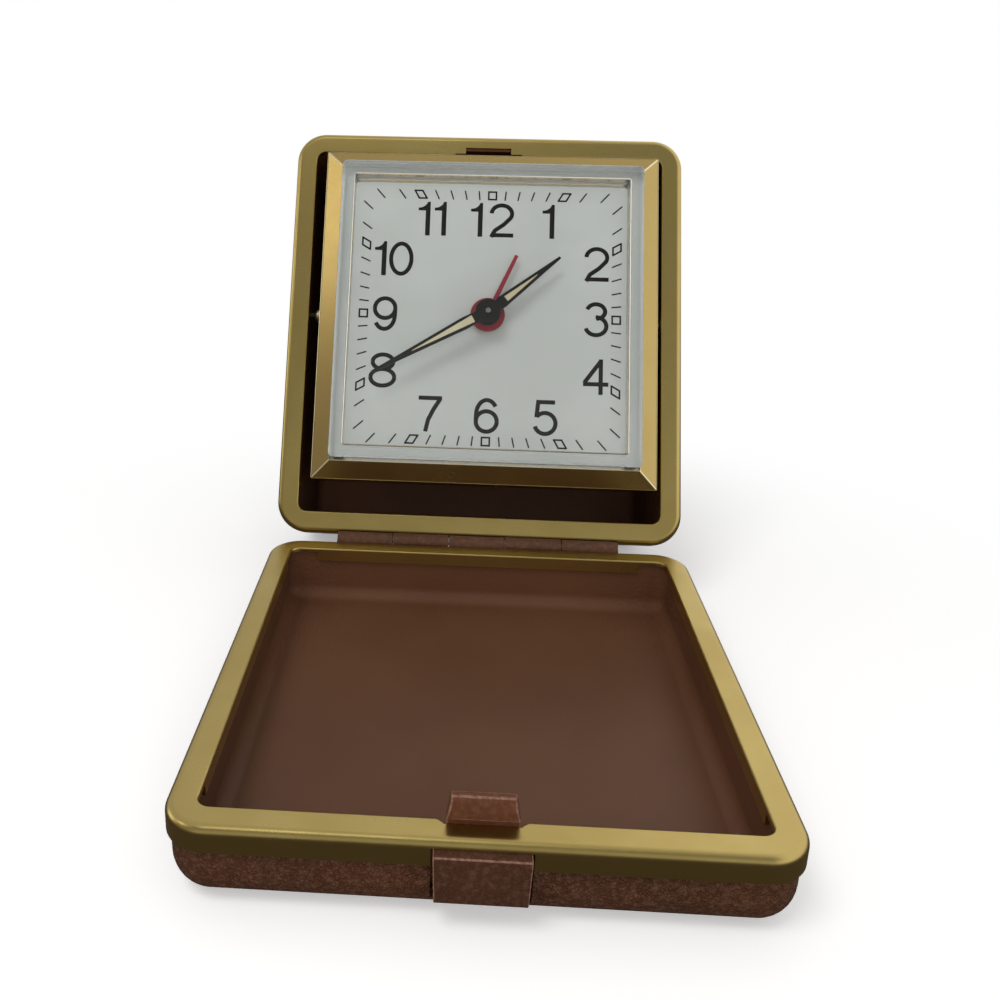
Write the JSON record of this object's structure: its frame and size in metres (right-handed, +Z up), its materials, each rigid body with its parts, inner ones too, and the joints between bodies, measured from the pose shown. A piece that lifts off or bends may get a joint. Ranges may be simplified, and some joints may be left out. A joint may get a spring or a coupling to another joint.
{
  "type": "folding travel alarm clock",
  "caption": "Folding travel alarm clock: a square clock head on pivots in the deep half of a hinged leatherette case, with a push-button latch.",
  "frame": {"origin": "centre of the flat underside of the base half, with the case open", "axes": "+X to the right of the dial's reader, +Y back towards the raised half, +Z up"},
  "size_m": [0.08, 0.1531, 0.0877],
  "materials": {
    "bezel_brass": "lacquered, polished",
    "can_metal": "lacquered, satin",
    "crystal_clear": "clear moulded, polished",
    "dial_paint": "pale, satin",
    "hand_black": "black, satin, with cream infill",
    "hand_red": "red, satin",
    "key_brass": "polished",
    "latch_vinyl": "leatherette, satin",
    "leatherette": "pebbled leatherette, satin",
    "lining_vinyl": "smooth vinyl lining, satin",
    "movement_brass": "brushed",
    "pivot_brass": "polished",
    "rim_brass": "lacquered, satin",
    "spring_steel": "blued",
    "steel": "bright"
  },
  "bodies": {
    "base_half": {"base_shell": "leatherette", "base_lining": "lining_vinyl", "base_rim": "rim_brass", "base_hinge_leaf": "latch_vinyl", "hinge_pin": "steel", "latch_guides": "rim_brass", "latch_spring": "spring_steel"},
    "latch": {"latch_catch": "latch_vinyl", "latch_button": "latch_vinyl"},
    "upper_half": {"upper_shell": "leatherette", "upper_lining": "lining_vinyl", "upper_rim": "rim_brass", "upper_hinge_leaf": "latch_vinyl", "latch_keeper": "latch_vinyl", "pivot_bracket_left": "steel", "pivot_bracket_right": "steel"},
    "clock_head": {"pivot_stud_left": "pivot_brass", "pivot_stud_right": "pivot_brass", "bezel": "bezel_brass", "crystal": "crystal_clear", "dial": "dial_paint", "head_case": "can_metal", "back_cover": "can_metal", "cover_screws": "steel", "front_plate": "movement_brass", "back_plate": "movement_brass", "plate_pillars": "movement_brass", "plate_screws": "steel", "movement_screws": "steel", "going_mainspring": "spring_steel", "alarm_mainspring": "spring_steel", "alarm_barrel": "movement_brass", "hairspring": "spring_steel"},
    "minute_set": {"centre_arbor": "steel", "cannon_pinion": "movement_brass", "minute_hand": "hand_black", "time_set_knob": "key_brass"},
    "minute_wheel_set": {"minute_wheel": "movement_brass"},
    "hour_set": {"hour_wheel": "movement_brass", "hour_hand": "hand_black"},
    "alarm_indicator": {"alarm_wheel": "movement_brass", "alarm_hand": "hand_red"},
    "alarm_setter": {"alarm_set_arbor": "steel", "alarm_set_knob": "key_brass"},
    "going_winder": {"going_winding_arbor": "steel", "going_key": "key_brass"},
    "alarm_winder": {"alarm_winding_arbor": "steel", "alarm_key": "key_brass"},
    "barrel_set": {"going_barrel": "movement_brass"},
    "centre_wheel_set": {"centre_wheel": "movement_brass"},
    "third_wheel_set": {"third_wheel": "movement_brass"},
    "fourth_wheel_set": {"fourth_wheel": "movement_brass"},
    "escape_wheel_set": {"escape_wheel": "movement_brass"},
    "lever_set": {"pallet_lever": "steel"},
    "balance_set": {"balance_wheel": "movement_brass"},
    "hammer_set": {"alarm_hammer": "steel"},
    "stop_set": {"alarm_stop": "key_brass"},
    "regulator_set": {"regulator": "steel"}
  },
  "joints": [
    {"name": "case_hinge", "type": "hinge", "parent": "base_half", "child": "upper_half", "pos_m": [0, 0.04275, 0.0124], "axis": [1, 0, 0], "range_deg": [0, 116.5]},
    {"name": "head_tilt", "type": "hinge", "parent": "upper_half", "child": "clock_head", "pos_m": [0, 0.06453, 0.05227], "axis": [1, 0, 0], "range_deg": [-60, 0]},
    {"name": "latch_press", "type": "slide", "parent": "base_half", "child": "latch", "axis": [0, 1, 0], "range_m": [0, 0.0008], "stiffness_N_per_m": 2000, "springref_m": -0.0003, "deforming": ["latch_spring"]},
    {"name": "hands_set", "type": "hinge", "parent": "clock_head", "child": "minute_set", "pos_m": [0.0007, 0.06166, 0.0537], "axis": [0, -0.8949, 0.4462], "continuous": true},
    {"name": "minute_wheel_turn", "type": "hinge", "parent": "clock_head", "child": "minute_wheel_set", "pos_m": [-0.00607, 0.06057, 0.0515], "axis": [0, -0.8949, 0.4462], "continuous": true},
    {"name": "hour_turn", "type": "hinge", "parent": "clock_head", "child": "hour_set", "pos_m": [0.0007, 0.06166, 0.0537], "axis": [0, -0.8949, 0.4462], "continuous": true},
    {"name": "alarm_set", "type": "hinge", "parent": "clock_head", "child": "alarm_indicator", "pos_m": [0.0007, 0.06166, 0.0537], "axis": [0, -0.8949, 0.4462], "continuous": true},
    {"name": "alarm_setter_turn", "type": "hinge", "parent": "clock_head", "child": "alarm_setter", "pos_m": [0.0077, 0.06286, 0.0561], "axis": [0, -0.8949, 0.4462], "continuous": true},
    {"name": "going_wind", "type": "hinge", "parent": "clock_head", "child": "going_winder", "pos_m": [-0.01, 0.06607, 0.06254], "axis": [0, -0.8949, 0.4462], "continuous": true},
    {"name": "alarm_wind", "type": "hinge", "parent": "clock_head", "child": "alarm_winder", "pos_m": [0.0127, 0.06657, 0.06354], "axis": [0, -0.8949, 0.4462], "continuous": true},
    {"name": "fourth_wheel_turn", "type": "hinge", "parent": "clock_head", "child": "fourth_wheel_set", "pos_m": [-0.00072, 0.05831, 0.04697], "axis": [0, -0.8949, 0.4462], "continuous": true},
    {"name": "third_wheel_turn", "type": "hinge", "parent": "clock_head", "child": "third_wheel_set", "pos_m": [0.0052, 0.05927, 0.0489], "axis": [0, -0.8949, 0.4462], "continuous": true},
    {"name": "centre_wheel_turn", "type": "hinge", "parent": "clock_head", "child": "centre_wheel_set", "pos_m": [0.0007, 0.06166, 0.0537], "axis": [0, -0.8949, 0.4462], "continuous": true},
    {"name": "barrel_turn", "type": "hinge", "parent": "clock_head", "child": "barrel_set", "pos_m": [-0.01, 0.06607, 0.06254], "axis": [0, -0.8949, 0.4462], "continuous": true},
    {"name": "escape_wheel_turn", "type": "hinge", "parent": "clock_head", "child": "escape_wheel_set", "pos_m": [-0.00559, 0.05679, 0.04392], "axis": [0, -0.8949, 0.4462], "continuous": true},
    {"name": "balance_swing", "type": "hinge", "parent": "clock_head", "child": "balance_set", "pos_m": [-0.01556, 0.05472, 0.03976], "axis": [0, -0.8949, 0.4462], "range_deg": [-120, 120], "stiffness_Nm_per_rad": 0.00002},
    {"name": "lever_rock", "type": "hinge", "parent": "clock_head", "child": "lever_set", "pos_m": [-0.01066, 0.05573, 0.04181], "axis": [0, -0.8949, 0.4462], "range_deg": [-6, 6]},
    {"name": "hammer_swing", "type": "hinge", "parent": "clock_head", "child": "hammer_set", "pos_m": [0.0217, 0.05988, 0.05012], "axis": [0, -0.8949, 0.4462], "range_deg": [-6, 6]},
    {"name": "alarm_stop_pull", "type": "slide", "parent": "clock_head", "child": "stop_set", "axis": [0, 0.8949, -0.4462], "range_m": [0, 0.002]},
    {"name": "regulator_set", "type": "hinge", "parent": "clock_head", "child": "regulator_set", "pos_m": [-0.01556, 0.05472, 0.03976], "axis": [0, -0.8949, 0.4462], "range_deg": [-18, 18]}
  ],
  "couplings": [
    {"joint": "minute_wheel_turn", "follows": "hands_set", "ratio": -0.33333},
    {"joint": "hour_turn", "follows": "hands_set", "ratio": 0.083333},
    {"joint": "alarm_setter_turn", "follows": "alarm_set", "ratio": -4},
    {"joint": "third_wheel_turn", "follows": "fourth_wheel_turn", "ratio": -0.125},
    {"joint": "centre_wheel_turn", "follows": "fourth_wheel_turn", "ratio": 0.020833},
    {"joint": "barrel_turn", "follows": "fourth_wheel_turn", "ratio": -0.0034722},
    {"joint": "escape_wheel_turn", "follows": "fourth_wheel_turn", "ratio": -10},
    {"joint": "lever_rock", "follows": "balance_swing", "ratio": -0.05}
  ]
}
